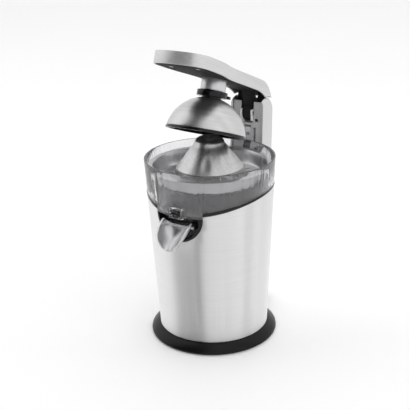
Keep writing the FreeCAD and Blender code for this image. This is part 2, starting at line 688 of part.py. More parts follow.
groove_height = S.reamer_base + 7
groove_radius = S.reamer_radius - 7 * side_fall / side_run
outside = turned([
    (0.0, S.reamer_base),
    (S.reamer_radius + 0.6, S.reamer_base),
    (S.reamer_radius + 0.6, S.reamer_base + 1),
    (groove_radius + 0.6, groove_height - 0.8),
    (groove_radius - 1, groove_height - 0.8),
    (groove_radius - 1, groove_height),
    (groove_radius, groove_height),
    (S.reamer_shoulder_radius, S.reamer_shoulder),
    (0.0, S.reamer_tip, nose_radius),
])
hollow_top = S.reamer_shoulder + 6
hollow = turned([
    (0.0, S.reamer_base - 1),
    (S.reamer_radius - 2 * S.reamer_wall, S.reamer_base - 1),
    (S.reamer_radius - 2 * S.reamer_wall, S.reamer_base + 1),
    (S.reamer_shoulder_radius - 2 * S.reamer_wall, S.reamer_shoulder),
    (12.0, hollow_top),
    (0.0, hollow_top),
])
side_length = math.hypot(side_run.value, side_fall.value)
side_angle = math.degrees(math.atan2(side_fall.value, side_run.value))
flute_start = 8
flute_axis = S.reamer_radius - flute_start * side_fall / side_run + S.flute_radius - S.flute_depth
flutes = []
for index in range(int(S.flute_count.value)):
    cutter = bind(doc.addObject("Part::Cylinder", "Flute"), Radius=S.flute_radius, Height=side_length)
    lean = FreeCAD.Placement(FreeCAD.Vector(number(flute_axis), 0, number(S.reamer_base + flute_start)),
                             FreeCAD.Rotation(FreeCAD.Vector(0, 1, 0), -side_angle))
    turn = FreeCAD.Placement(FreeCAD.Vector(), FreeCAD.Rotation(FreeCAD.Vector(0, 0, 1),
                                                                360 * (index + 0.5) / S.flute_count.value))
    cutter.Placement = turn.multiply(lean)
    flutes.append(cutter)
node("reamer_cone", cut(outside, fuse(*flutes), hollow))
disc_radius = S.reamer_radius - 2 * S.reamer_wall - 0.2
hub_radius = 9
hub_height = S.reamer_shoulder - 4 - S.reamer_base
hub_low = S.reamer_base - 1.2
hub = fuse(rod(disc_radius, 2.1, (0, 0, hub_low)), rod(hub_radius, hub_height, (0, 0, S.reamer_base)))
node("reamer_hub", cut(hub, hexagon(S.hex_width + 2 * S.hex_gap, spindle_top - hub_low + 2,
                                    (0, 0, hub_low - 1))))

# ---- drip spout ------------------------------------------------------------------------------
spout_wall = 1.6
# stations down the scoop: rim (Y, Z), floor (Y, Z) and half width
SCOOP = [
    ((-76, 173.5), (-72, 165), 20.5),
    ((-89, 166), (-78, 153), 19),
    ((-97, 157), (-88, 146.5), 15),
    ((-99.5, 147), (-96, 141), 9.5),
]


def scoop_section(rim, floor, half, inset):
    """U section between two rim ends, in the plane through rim and floor."""
    rim_y, rim_z = rim
    along = FreeCAD.Vector(0, floor[0] - rim_y, floor[1] - rim_z)
    depth = along.Length - inset
    along.normalize()
    centre = FreeCAD.Vector(0, rim_y, rim_z)
    if inset:
        centre -= along * 3
        depth += 3
    side = FreeCAD.Vector(half - inset, 0, 0)
    bottom = [centre + along * depth * math.sin(a) + side * math.cos(a)
              for a in [math.radians(30 * step) for step in range(7)]]
    curve = Part.BSplineCurve()
    curve.interpolate(bottom)
    return Part.Wire([curve.toShape(), Part.makeLine(bottom[-1], bottom[0])])


scoop_outer = Part.makeLoft([scoop_section(*station, 0) for station in SCOOP], True)
first, second = SCOOP[:2]
root_rim = (2 * first[0][0] - second[0][0], 2 * first[0][1] - second[0][1])
root_floor = (2 * first[1][0] - second[1][0], 2 * first[1][1] - second[1][1])
beyond_lip = ((-100.5, 141), (-103, 137), 7.5)
inner_stations = [(root_rim, root_floor, first[2])] + SCOOP + [beyond_lip]
scoop_inner = Part.makeLoft([scoop_section(*station, spout_wall) for station in inner_stations], True)
spout_pin_radius = 1.5
spout_pin_y = -78.5
spout_pin_z = 169
node("drip_spout", cut(shape_feature(scoop_outer), shape_feature(scoop_inner),
                       rod(spout_pin_radius + S.bearing, 60, (-30, spout_pin_y, spout_pin_z), "X")))
lug_inner = 21
lug_thick = 2.5
pin_end = lug_inner + lug_thick
node("spout_pin", rod(spout_pin_radius, 2 * pin_end, (-pin_end, spout_pin_y, spout_pin_z), "X"))

shield_body = cut(common(rod(S.shield_radius - S.running, 60, (0, -S.bowl_rim - 20, S.shield_height), "Y"),
                         sleeve_cone(0.5, S.deck_height - 40, S.bowl_floor - S.running)),
                  sleeve_cone(-S.shield_depth, S.deck_height - 40, edge_top))
shield_room = cut(rod(S.shield_radius - 3, 60, (0, -S.bowl_rim - 20, S.shield_height), "Y"),
                  sleeve_cone(-S.shield_depth + 2, S.deck_height - 40, edge_top))
lugs_for_pin = [block((x, -shield_back - 9, spout_pin_z - 3.5),
                      (x + lug_thick, -shield_back + 0.5, spout_pin_z + 3.5))
                for x in (-pin_end, lug_inner)]
node("spout_shield", cut(fuse(cut(shield_body, shield_room), *lugs_for_pin),
                         rod(spout_pin_radius, 60, (-30, spout_pin_y, spout_pin_z), "X"),
                         outlet_way))

# ---- column ----------------------------------------------------------------------------------
pivot_y = S.hinge_y
pivot_z = S.hinge_z


def column_back(height):
    return pivot_y + S.cheek_radius - S.column_lean * (pivot_z - height)


def cheek_front(height):
    return S.column_front - S.front_lean * (pivot_z - height)


saddle = S.rim_height + S.trim_height
front_high = 280.0
cheek_top = pivot_z + (S.cheek_radius * S.cheek_radius
                       - (pivot_y - cheek_front(front_high)) * (pivot_y - cheek_front(front_high))).root()
column_low = S.base_height + S.running
back_round = 7


def round_back(body):
    """Round the two long back edges of the column."""
    doc.recompute()
    pad = body.Tip
    names = []
    for index, edge in enumerate(pad.Shape.Edges, start=1):
        ends = [v.Point for v in edge.Vertexes]
        if len(ends) == 2 and ends[0].y > pivot_y.value and ends[1].y > pivot_y.value:
            if abs(ends[0].x - ends[1].x) < 0.01 and abs(ends[0].z - ends[1].z) > 100:
                names.append("Edge%d" % index)
    fillet = body.newObject("PartDesign::Fillet", "Rounding")
    fillet.Base = (pad, names)
    fillet.Radius = back_round
    return body


column_side = padded("YZ_Plane", [
    (S.base_inner , column_low),
    (column_back(column_low), column_low),
    (pivot_y + S.cheek_radius, pivot_z),
    (cheek_front(front_high), cheek_top, S.cheek_radius),
    (cheek_front(saddle), saddle),
    (S.base_inner , saddle),
], 2 * S.stem_half)
inner_half = S.stem_half - S.column_wall
wall_top = pivot_z - 4
column_room = padded("YZ_Plane", [
    (S.base_inner - 10, column_low - 5),
    (column_back(column_low - 5) - S.column_wall, column_low - 5),
    (column_back(wall_top) - S.column_wall, wall_top),
    (column_back(wall_top) + 20, wall_top),
    (column_back(wall_top) + 20, pivot_z + 40),
    (S.base_inner - 10, pivot_z + 40),
], 2 * inner_half)
bush_outer = 5
bush_seat = S.column_wall - 1
seat_half = inner_half + bush_seat
column_holes = rod(bush_outer, 2 * seat_half, (-seat_half, pivot_y, pivot_z), "X")
sleeve_gap = sleeve_cone(0.4 + S.running, column_low - 10, saddle + 10)
node("column_shell", cut(round_back(column_side), column_room, sleeve_gap, column_holes))
flange_radius = 7
flange_thick = 0.9
for_bushes = []
for outer, inner in ((-seat_half, -inner_half), (inner_half, inner_half - flange_thick)):
    for_bushes.append(cut(fuse(rod(bush_outer, bush_seat, (outer, pivot_y, pivot_z), "X"),
                               rod(flange_radius, flange_thick, (inner, pivot_y, pivot_z), "X")),
                          rod(S.axle_radius, 60, (-30, pivot_y, pivot_z), "X")))
node("hinge_bushes", group(*for_bushes))
node("hinge_pin", rod(S.axle_radius, 2 * seat_half - 0.2, (-seat_half + 0.1, pivot_y, pivot_z), "X"))
panel_gap = 1.5
fork_bay_half = 9.2
panel_thick = 1.8
panel = padded("YZ_Plane", [
    (cheek_front(S.panel_bottom) + panel_gap, S.panel_bottom),
    (cheek_front(S.panel_bottom) + panel_gap + panel_thick, S.panel_bottom),
    (cheek_front(S.panel_high) + panel_gap + panel_thick, S.panel_high),
    (cheek_front(S.panel_high) + panel_gap, S.panel_high),
], 2 * (inner_half - S.running))
fork_bay = block((-fork_bay_half, 60.0, S.panel_top), (fork_bay_half, 120.0, S.panel_high + 5))
window_half = 5.5
window = block((-window_half, 60.0, S.panel_bottom + 18), (window_half, 110.0, S.panel_top - 3))
side_slot = block((window_half + 3.0, 60.0, S.panel_bottom + 12),
                  (window_half + 7.0, 110.0, S.panel_top - 6))
low_slot = block((-window_half, 60.0, S.panel_bottom + 3), (window_half, 110.0, S.panel_bottom + 14))
foot_screw_x = 14
foot_screw_z = S.panel_bottom + 5
panel_holes = [rod(1.5, 20, (x, 85, foot_screw_z), "Y") for x in (-foot_screw_x, foot_screw_x)]
eye_height = S.panel_top + 2
eyes = [block((x, 60.0, eye_height), (x + 5, 110.0, eye_height + 4))
        for x in (-fork_bay_half - 6.5, fork_bay_half + 1.5)]
node("column_panel", cut(panel, fork_bay, window, side_slot, low_slot, *eyes, *panel_holes))
foot_low = saddle + 0.5
panel_back = cheek_front(S.panel_bottom) + panel_gap + panel_thick + 0.9
foot_back = pivot_y + 3
foot_side = padded("YZ_Plane", [
    (S.foot_front, foot_low),
    (foot_back, foot_low),
    (foot_back, S.panel_bottom + 10),
    (panel_back, S.panel_bottom + 10),
    (panel_back, S.panel_bottom - S.running),
    (S.foot_front + 4, S.panel_bottom - S.running),
    (S.foot_front, S.panel_bottom - 2.5),
], 2 * (inner_half - S.running))
rod_y = foot_back - 7
rod_x = 5
rod_low = S.panel_bottom + 2
foot_holes = [rod(S.rod_radius, 40, (x, rod_y, rod_low), "Z") for x in (-rod_x, rod_x)]
foot_holes += [rod(1.25, 8, (x, panel_back, foot_screw_z), "Y") for x in (-foot_screw_x, foot_screw_x)]
node("column_foot", cut(foot_side, *foot_holes))
panel_face = cheek_front(foot_screw_z) + panel_gap
node("column_screws", group(*[
    fuse(rod(2.6, 1.4, (x, panel_face - 1.5, foot_screw_z), "Y"),
         rod(1.25, 9, (x, panel_face - 0.2, foot_screw_z), "Y"))
    for x in (-foot_screw_x, foot_screw_x)]))
rod_top = S.panel_bottom + 29
node("guide_rods", group(*[rod(S.rod_radius, rod_top - rod_low, (x, rod_y, rod_low))
                           for x in (-rod_x, rod_x)]))
carriage_low = S.panel_bottom + 17
lift_up = 6.3
carriage_top = pivot_z - S.knuckle_radius - lift_up - 1
yoke_inner = 6.4
yoke_outer = 8.6
yoke_front = pivot_y - S.crank_radius - S.crank_pin - 1.6
yoke_back = pivot_y - S.axle_radius - 0.6
crank_gap = S.crank_pin + 0.9
carriage_front = cheek_front(S.panel_top) + panel_gap + panel_thick + S.running
panel_depth = cheek_front(pivot_z) + panel_gap + panel_thick
carriage_back = rod_y + 4
carriage_block = block((-yoke_outer, carriage_front, carriage_low),
                       (yoke_outer, carriage_back, carriage_top))
fork_neck = block((-yoke_outer, carriage_front, carriage_top - 0.4),
                  (yoke_outer, yoke_back, S.panel_top + 4))
fork_head = block((-yoke_outer, yoke_front, S.panel_top + 3.5),
                  (yoke_outer, yoke_back, pivot_z + crank_gap + 2.2))
fork_slot = block((-30.0, yoke_front + 1.4, pivot_z - crank_gap), (30.0, pivot_y, pivot_z + crank_gap))
fork_room = block((-yoke_inner, 60.0, carriage_top), (yoke_inner, 120.0, pivot_z + 30))
rod_holes = [rod(S.rod_radius + S.bearing, rod_top + 4.2 - carriage_low + 5, (x, rod_y, carriage_low - 5))
             for x in (-rod_x, rod_x)]
carriage_screw_z = S.panel_bottom + 26
screw_hole = rod(1.2, 6, (0, carriage_front - 1, carriage_screw_z), "Y")
carriage = fuse(carriage_block, fork_neck, fork_head)
node("lift_carriage", cut(carriage, fork_room, fork_slot, *rod_holes, screw_hole))
node("carriage_screw", fuse(rod(2.2, 1.2, (0, carriage_front - 1.2, carriage_screw_z), "Y"),
                            rod(1.2, 5, (0, carriage_front, carriage_screw_z), "Y")))
lift_spring_low = S.panel_bottom + 10
lift_wire = 0.4
lift_coil = S.rod_radius + 1
lift_shape = coil_spring(number(lift_coil), lift_wire, number(carriage_low - lift_spring_low), 4)
lift_springs = [shape_feature(lift_shape, (x, rod_y, lift_spring_low + lift_wire + spring_seat))
                for x in (-rod_x, rod_x)]
node("lift_springs", group(*lift_springs))

# ---- lever, modelled closed ------------------------------------------------------------------
arm_top = S.arm_bottom + S.arm_thick


def plan(inset, back):
    """Half-and-half outline of the lever from above, moved in by inset."""
    front_centre = -S.paddle_tip + S.paddle_front_radius
    front_radius = S.paddle_front_radius - inset
    front_half = S.paddle_front_half - inset * 0.35
    front_y = front_centre - (front_radius * front_radius - front_half * front_half).root()
    corner_y = front_y + (S.paddle_corner - inset) * 0.935
    side = S.paddle_half - inset
    drop = S.shoulder_drop
    long = S.shoulder_length
    bend = (drop * drop + long * long) / (2 * drop)
    hip_y = -S.paddle_widest + long
    rest_drop = S.paddle_half - drop - S.waist_half
    rest_long = S.waist_y - hip_y
    rest_bend = (rest_drop * rest_drop + rest_long * rest_long) / (2 * rest_drop)
    right = [
        (front_half, front_y, front_radius),
        (side, corner_y, S.paddle_corner - inset),
        (side, -S.paddle_widest),
        (side - drop, hip_y, bend),
        (S.waist_half - inset, S.waist_y, -rest_bend),
        (S.stem_half - inset, S.hinge_y - 30),
        (S.stem_half - inset, back),
    ]
    left = [(-S.stem_half + inset, back)]
    for index in range(len(right) - 1, 0, -1):
        target = right[index - 1]
        arrival = right[index]
        left.append((-target[0], target[1], arrival[2]) if len(arrival) == 3 else (-target[0], target[1]))
    return right + left[:1] + left[1:]


def arm_plan(inset, back, low, high):
    return padded("XY_Plane", plan(inset, back), high - low, low)


wrap_radius = S.cheek_radius + 0.7
wrap_front = math.radians(60)
wrap_back = math.radians(74)
fall_end = math.radians(42)
fall_centre = arm_top - S.top_fall_radius

sag_long = 26
sag_start = pivot_y - wrap_radius * math.cos(wrap_front) - sag_long
sag_deep = S.arm_bottom - (pivot_z + wrap_radius * math.sin(wrap_front))
sag_radius = (sag_deep * sag_deep + sag_long * sag_long) / (2 * sag_deep)


def side_shape(inset, wrap, width):
    """Side view of the lever: flat top that falls in an arc to the wrap around the cheeks."""
    top = arm_top - inset
    fall = S.top_fall_radius - inset
    return padded("YZ_Plane", [
        (-S.paddle_tip - 10, top),
        (-S.paddle_tip - 10, S.arm_bottom),
        (sag_start, S.arm_bottom),
        (pivot_y - wrap * math.cos(wrap_front), pivot_z + wrap * math.sin(wrap_front), -sag_radius),
        (pivot_y + wrap * math.cos(wrap_back), pivot_z + wrap * math.sin(wrap_back), -wrap),
        (S.top_flat_end + fall * math.cos(fall_end), fall_centre + fall * math.sin(fall_end)),
        (S.top_flat_end, top, fall),
    ], width)


arm_back = pivot_y + 20
arm_solid = common(arm_plan(0, arm_back, S.arm_bottom - 30, arm_top),
                   side_shape(0, wrap_radius, 3 * S.paddle_half))
room_side = padded("YZ_Plane", [
    (-S.paddle_tip - 10, arm_top - S.arm_wall),
    (-S.paddle_tip - 10, S.arm_bottom - 31),
    (pivot_y + 30, S.arm_bottom - 31),
    (S.top_flat_end + (S.top_fall_radius - S.arm_wall) * math.cos(fall_end),
     fall_centre + (S.top_fall_radius - S.arm_wall) * math.sin(fall_end)),
    (S.top_flat_end, arm_top - S.arm_wall, S.top_fall_radius - S.arm_wall),
], 3 * S.paddle_half)
arm_room = common(arm_plan(S.arm_wall, pivot_y + 8, S.arm_bottom - 31, arm_top), room_side)
screw_y = 60
arm_screw_spots = [(-14, screw_y), (14, screw_y), (-18, -70), (18, -70)]
bosses = [rod(3.2, S.arm_thick - S.arm_wall - 2.2, (x, y, S.arm_bottom + 3.2)) for x, y in arm_screw_spots]
neck_boss = rod(7, S.arm_thick - S.arm_wall - 2.2, (0, 0, S.arm_bottom + 3.2))
boss_holes = [rod(1.3, 8, (x, y, S.arm_bottom)) for x, y in arm_screw_spots]
neck_screw_hole = rod(2.5, 10, (0, 0, S.arm_bottom))
arm_cover = fuse(cut(arm_solid, arm_room), *bosses, neck_boss)
node("arm_shell", cut(arm_cover, neck_screw_hole, *boss_holes), True)
under_thick = 2.6
under_top = S.arm_bottom + under_thick
under_back = pivot_y - wrap_radius * math.cos(wrap_front) - 3
under_plate = arm_plan(S.arm_wall + S.running, under_back, S.arm_bottom, under_top)
web_points = [
    (pivot_y - 24, under_top),
    (pivot_y - 24, S.arm_bottom),
    (pivot_y - S.knuckle_radius + 1, pivot_z + 6),
    (pivot_y + 3.0, pivot_z + 4),
    (pivot_y + 4.0, pivot_z + 17),
    (pivot_y - 3, pivot_z + 18.5),
    (pivot_y - 14.0, under_top),
]
knuckle_spans = [(-inner_half + flange_thick + S.running, -yoke_outer - 0.4),
                 (-yoke_inner + 0.4, yoke_inner - 0.4),
                 (yoke_outer + 0.4, inner_half - flange_thick - S.running)]
side_drum = pivot_y - panel_depth - S.running
side_points = [
    (pivot_y - 5, under_top),
    (pivot_y - side_drum + 0.8, pivot_z + 2),
    (pivot_y + 5.0, pivot_z + 3),
    (pivot_y + 4.0, pivot_z + 17),
    (pivot_y - 3, pivot_z + 18.5),
    (pivot_y + 1.0, under_top - 4),
]
ribs = []
for index, (low, high) in enumerate(knuckle_spans):
    middle = index == 1
    drum = rod(S.knuckle_radius if middle else side_drum, high - low, (low, pivot_y, pivot_z), "X")
    web = padded("YZ_Plane", web_points if middle else side_points, 80)
    slab = block((low, 60.0, pivot_z - 20), (high, 140.0, pivot_z + 30))
    ribs += [drum, common(web, slab)]
crank_y = pivot_y - S.crank_radius * math.cos(math.radians(S.lift.value))
crank_z = pivot_z - S.crank_radius * math.sin(math.radians(S.lift.value))
knuckle_bore = rod(S.axle_radius + S.bearing, 60, (-30, pivot_y, pivot_z), "X")
crank_bore = rod(S.crank_pin, 2 * yoke_outer, (-yoke_outer, crank_y, crank_z), "X")
plate_screw_holes = [rod(1.3, 20, (x, y, S.arm_bottom - 5)) for x, y in arm_screw_spots]
plate_screw_holes += [rod(2.5, 20, (0, 0, S.arm_bottom - 5))]
plate_heads = [rod(2.7, 1.6, (x, y, S.arm_bottom - 0.1)) for x, y in arm_screw_spots]
node("arm_underside", cut(fuse(under_plate, *ribs), knuckle_bore, crank_bore, *plate_screw_holes,
                          *plate_heads), True)
crank_rod = rod(S.crank_pin, 2 * yoke_outer - 0.4, (-yoke_outer + 0.2, crank_y, crank_z), "X")
node("crank_pin", crank_rod, True)
node("arm_screws", group(*[screw(x, y, S.arm_bottom + 0.1, 6, 1.3, 2.5, 1.3)
                           for x, y in arm_screw_spots]), True)
neck_tube = rod(S.neck_radius, S.arm_bottom - S.neck_bottom - S.running,
                (0, 0, S.neck_bottom + S.running))
spigot = rod(S.spigot_radius, S.neck_bottom - S.collar_bottom + 4, (0, 0, S.collar_bottom - 3))
node("cup_neck", cut(fuse(neck_tube, spigot), rod(2.5, 60, (0, 0, S.collar_bottom - 10))), True)
bolt_head = 1.8
node("neck_bolt", fuse(rod(10.5, bolt_head, (0, 0, S.collar_bottom - 3 - bolt_head)),
                       rod(2.5, S.arm_bottom + 8 - S.collar_bottom + 3, (0, 0, S.collar_bottom - 3))), True)

# ---- press dome, modelled closed -------------------------------------------------------------
collar_bore = S.spigot_radius + 0.09
collar_skirt = 11.7
collar = fuse(rod(S.collar_radius, S.neck_bottom - S.collar_bottom, (0, 0, S.collar_bottom)),
              rod(collar_skirt, 3, (0, 0, S.collar_bottom - 2.7)),
              block((9.0, S.collar_radius - 4, S.collar_bottom + 1), (15.0, S.collar_radius + 1.5,
                                                                      S.collar_bottom + 4.5)))
node("cup_collar", cut(collar, rod(collar_bore, 20, (0, 0, S.collar_bottom - 6))), True)


def dome_rings(inset, low, hole):
    """Half section of the outer side of a dome shell, as (radius, height, arc) points."""
    height = S.collar_bottom - S.dome_rim
    ball = (S.dome_radius * S.dome_radius + height * height) / (2 * height) - inset
    centre = S.collar_bottom - inset - ball
    low_radius = (ball * ball - (low - centre) * (low - centre)).root()
    hole_height = centre + (ball * ball - hole * hole).root()
    return low_radius, hole_height, ball


def dome_shell(inset, wall, low, hole):
    """Round shell of even thickness with a hole in its top."""
    outer_low, outer_hole, outer_ball = dome_rings(inset, low, hole)
    inner_low, inner_hole, inner_ball = dome_rings(inset + wall, low, hole)
    return turned([
        (inner_low, low, -inner_ball),
        (outer_low, low),
        (hole, outer_hole, outer_ball),
        (hole, inner_hole),
    ])


trim_band = 3.5
hole_radius = collar_skirt + 0.3
dome_low = S.dome_rim + trim_band + 0.05
node("press_dome", dome_shell(0, S.dome_wall, dome_low, Size(hole_radius, repr(hole_radius))), True)
liner = dome_shell(S.dome_wall + 0.1, S.liner_wall, S.dome_rim + 4, Size(13.5, "13.5"))
rib_bodies = []
rib_ball = dome_rings(S.dome_wall + 0.1 + S.liner_wall, S.dome_rim, Size(14, "14.0"))[2]
for index in range(8):
    rib = block((22.0, -0.8, S.dome_rim + 4), (S.dome_radius, 0.8, S.collar_bottom - 4))
    holder = doc.addObject("Part::Compound", "Rib")
    holder.Links = [rib]
    turn = FreeCAD.Rotation(FreeCAD.Vector(0, 0, 1), 45 * index)
    holder.Placement = FreeCAD.Placement(FreeCAD.Vector(), turn)
    rib_bodies.append(holder)
ball_centre = S.collar_bottom - S.dome_wall - 0.1 - S.liner_wall - rib_ball
outer_limit = bind(doc.addObject("Part::Sphere", "RibLimit"), Radius=rib_ball + 0.5)
place(outer_limit, (0, 0, ball_centre))
inner_limit = bind(doc.addObject("Part::Sphere", "RibRoom"), Radius=rib_ball - 3)
place(inner_limit, (0, 0, ball_centre))
rib_set = cut(common(fuse(*rib_bodies), outer_limit), inner_limit)
node("dome_liner", fuse(liner, rib_set), True)
rim_radius = dome_rings(0, S.dome_rim, Size(14, "14.0"))[0]
inner_at_rim = dome_rings(S.dome_wall + 0.1 + S.liner_wall, S.dome_rim + trim_band, Size(14, "14.0"))[0]
node("dome_rim_trim", turned([
    (inner_at_rim, S.dome_rim),
    (rim_radius + 0.2, S.dome_rim),
    (rim_radius + 0.5, S.dome_rim + 1),
    (rim_radius - 0.1, S.dome_rim + trim_band),
    (inner_at_rim, S.dome_rim + trim_band),
]), True)

# ---- finish ----------------------------------------------------------------------------------
doc.recompute()
faults = [o.Label for o in doc.Objects if "Invalid" in o.State or "Error" in o.State]
if faults:
    raise RuntimeError("not built: " + ", ".join(faults))
for piece in subparts:
    if piece.Shape.isNull() or not piece.Shape.isValid() or piece.Shape.Volume <= 0:
        raise RuntimeError("bad shape: " + piece.Label)
os.makedirs("parts", exist_ok=True)
for piece in subparts:
    piece.Shape.exportStep("parts/%s.step" % piece.Label)
    print("%-16s solids %2d  volume %9.1f" % (piece.Label, len(piece.Shape.Solids), piece.Shape.Volume))
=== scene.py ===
import json
import math
import bmesh
import bpy
from mathutils import Matrix, Vector


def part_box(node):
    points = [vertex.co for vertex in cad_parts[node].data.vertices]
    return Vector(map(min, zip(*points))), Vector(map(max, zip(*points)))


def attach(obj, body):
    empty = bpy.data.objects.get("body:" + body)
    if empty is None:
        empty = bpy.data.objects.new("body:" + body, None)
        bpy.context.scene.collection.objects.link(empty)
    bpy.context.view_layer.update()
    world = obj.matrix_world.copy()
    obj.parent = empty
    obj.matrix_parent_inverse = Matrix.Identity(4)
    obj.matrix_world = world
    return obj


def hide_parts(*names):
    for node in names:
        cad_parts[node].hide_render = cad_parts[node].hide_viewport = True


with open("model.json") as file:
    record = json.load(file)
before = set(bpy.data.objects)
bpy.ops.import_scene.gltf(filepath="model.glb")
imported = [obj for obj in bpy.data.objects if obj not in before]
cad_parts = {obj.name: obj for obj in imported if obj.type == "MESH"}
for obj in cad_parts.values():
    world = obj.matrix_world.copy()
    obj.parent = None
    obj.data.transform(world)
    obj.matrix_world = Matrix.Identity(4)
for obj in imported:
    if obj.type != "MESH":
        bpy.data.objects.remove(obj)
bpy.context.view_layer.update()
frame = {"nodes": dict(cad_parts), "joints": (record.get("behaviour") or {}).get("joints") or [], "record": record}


# ---- camera, floor and light ------------------------------------------------------------------
# The juicer stands on a pale floor in a bright white studio.  The camera looks down on it from
# its front left, with a long lens.
view_azimuth = math.radians(31.91)
view_drop = math.radians(20.79)
view_roll = -0.0291
camera_spot = (0.5403, -0.8816, 0.5601)
camera_data = bpy.data.cameras.new("camera")
camera_data.lens = 78.3
camera_data.sensor_width = 36
camera = bpy.data.objects.new("camera", camera_data)
bpy.context.scene.collection.objects.link(camera)
camera_turn = (Matrix.Rotation(view_azimuth, 4, "Z")
               @ Matrix.Rotation(math.radians(90) - view_drop, 4, "X")
               @ Matrix.Rotation(view_roll, 4, "Z"))
camera.matrix_world = Matrix.Translation(camera_spot) @ camera_turn
bpy.context.scene.camera = camera
bpy.context.scene.view_settings.view_transform = "Standard"


class Value:
    """A node's output that can be used in ordinary sums."""

    def __init__(self, nodes, socket):
        self.nodes = nodes
        self.socket = socket

    def sum(self, kind, first, second):
        return self.nodes.add("ShaderNodeMath", {"operation": kind}, {0: first, 1: second})

    def __add__(self, other):
        return self.sum("ADD", self, other)

    def __mul__(self, other):
        return self.sum("MULTIPLY", self, other)

    def __truediv__(self, other):
        return self.sum("DIVIDE", self, other)

    def __pow__(self, other):
        return self.sum("POWER", self, other)

    def __rsub__(self, other):
        return self.sum("SUBTRACT", other, self)


class Nodes:
    """A node tree that is built up node by node."""

    def __init__(self, tree):
        self.tree = tree

    def add(self, kind, settings=None, inputs=None, output=0):
        """One node, with its settings first and then its inputs, which are values or other nodes."""
        node = self.tree.nodes.new(kind)
        for key, value in (settings or {}).items():
            if key == "stops":
                ramp = node.color_ramp.elements
                while len(ramp) < len(value):
                    ramp.new(0.5)
                for stop, (position, tone) in zip(ramp, value):
                    stop.position = position
                    stop.color = (tone, tone, tone, 1)
            else:
                setattr(node, key, value)
        for key, value in (inputs or {}).items():
            self.join(value, node.inputs[key])
        return Value(self, node.outputs[output])

    def join(self, value, socket):
        if isinstance(value, Value):
            self.tree.links.new(value.socket, socket)
        else:
            socket.default_value = value

    def ramp(self, value, *stops):
        return self.add("ShaderNodeValToRGB", {"stops": stops}, {"Fac": value})

    def noise(self, place, scale=1.0, detail=2.0, roughness=0.5):
        return self.add("ShaderNodeTexNoise", {}, {"Vector": place, "Scale": scale, "Detail": detail,
                                                   "Roughness": roughness})

    def split(self, place):
        """The X, Y and Z of a place."""
        first = self.add("ShaderNodeSeparateXYZ", {}, {"Vector": place})
        outputs = first.socket.node.outputs
        return [Value(self, outputs[axis]) for axis in "XYZ"]


class Finish(Nodes):
    """A procedural material around one Principled shader."""

    def __init__(self, name, colour, roughness, metallic=0.0, **fixed):
        self.material = bpy.data.materials.new(name)
        self.material.use_nodes = True
        super().__init__(self.material.node_tree)
        self.shader = self.tree.nodes["Principled BSDF"]
        self.shader.inputs["Base Color"].default_value = (*colour, 1)
        self.shader.inputs["Roughness"].default_value = roughness
        self.shader.inputs["Metallic"].default_value = metallic
        for socket, value in fixed.items():
            self.shader.inputs[socket.replace("_", " ")].default_value = value
        self.place = self.add("ShaderNodeTexCoord", output="Object")

    def stretched(self, scale, place=None):
        """A place on the object, with each direction scaled by itself."""
        return self.add("ShaderNodeVectorMath", {"operation": "MULTIPLY"},
                        {0: place or self.place, 1: scale})

    def drive(self, socket, value):
        """Let a value set one of the shader's own sockets."""
        self.join(value, self.shader.inputs[socket])

    def bump(self, height, strength, distance):
        self.drive("Normal", self.add("ShaderNodeBump", {}, {"Height": height, "Strength": strength,
                                                             "Distance": distance}))


# floor: a wide pale sheet, with a very faint cloudiness
floor_mesh = bmesh.new()
bmesh.ops.create_grid(floor_mesh, x_segments=1, y_segments=1, size=6)
floor_data = bpy.data.meshes.new("floor")
floor_mesh.to_mesh(floor_data)
floor = bpy.data.objects.new("floor", floor_data)
bpy.context.scene.collection.objects.link(floor)
floor_finish = Finish("floor_paper", (0.93, 0.93, 0.93), 0.55)
cloud = floor_finish.noise(floor_finish.place, 3.0)
floor_finish.drive("Base Color", floor_finish.ramp(cloud, (0.0, 0.93), (1.0, 0.96)))
floor_finish.shader.inputs["Emission Color"].default_value = (1, 1, 1, 1)
floor_finish.shader.inputs["Emission Strength"].default_value = 0.12
floor_data.materials.append(floor_finish.material)


def lamp(name, size, power, spot, aim=(0, 0, 0.17)):
    """A square soft box that points at the juicer."""
    data = bpy.data.lights.new(name, "AREA")
    data.size = size
    data.energy = power
    light = bpy.data.objects.new(name, data)
    bpy.context.scene.collection.objects.link(light)
    light.location = spot
    light.rotation_euler = (Vector(aim) - Vector(spot)).to_track_quat("-Z", "Y").to_euler()


lamp("key_box", 2.0, 4, (-1.8, -0.5, 1.5))
lamp("right_box", 1.8, 4, (1.8, 0.4, 1.2))
lamp("top_box", 2.6, 8, (0.0, 0.2, 2.4))

# studio: white all round, with two dim stretches of wall above the horizon, a wide one in front of
# the juicer and a narrow one to its left, which draw the upright bands on the steel
studio = bpy.data.worlds.new("studio")
studio.use_nodes = True
bpy.context.scene.world = studio
sky = Nodes(studio.node_tree)
toward_x, toward_y, toward_z = sky.split(sky.add("ShaderNodeTexCoord", output="Generated"))
level = (toward_x * toward_x + toward_y * toward_y + 0.001) ** 0.5
above = sky.add("ShaderNodeMapRange", {"interpolation_type": "SMOOTHSTEP"},
                {"Value": toward_z, "From Min": 0.0, "From Max": 0.06})


def dim_stretch(azimuth, inner, outer, depth):
    """Darkness of the studio wall that is full within inner degrees of azimuth and gone at outer."""
    aim = math.radians(azimuth)
    facing = (toward_x * math.cos(aim) + toward_y * math.sin(aim)) / level
    dark = sky.add("ShaderNodeMapRange", {"interpolation_type": "SMOOTHSTEP"},
                   {"Value": facing, "From Min": math.cos(math.radians(outer)),
                    "From Max": math.cos(math.radians(inner)), "To Min": 0.0, "To Max": depth})
    return dark * above


ahead = dim_stretch(azimuth=-109, inner=28, outer=35, depth=1.0)
beside = dim_stretch(azimuth=14, inner=6, outer=14, depth=0.6)
wall = (1.0 - ahead) * (1.0 - beside)
sky.join(wall, studio.node_tree.nodes["Background"].inputs["Color"])


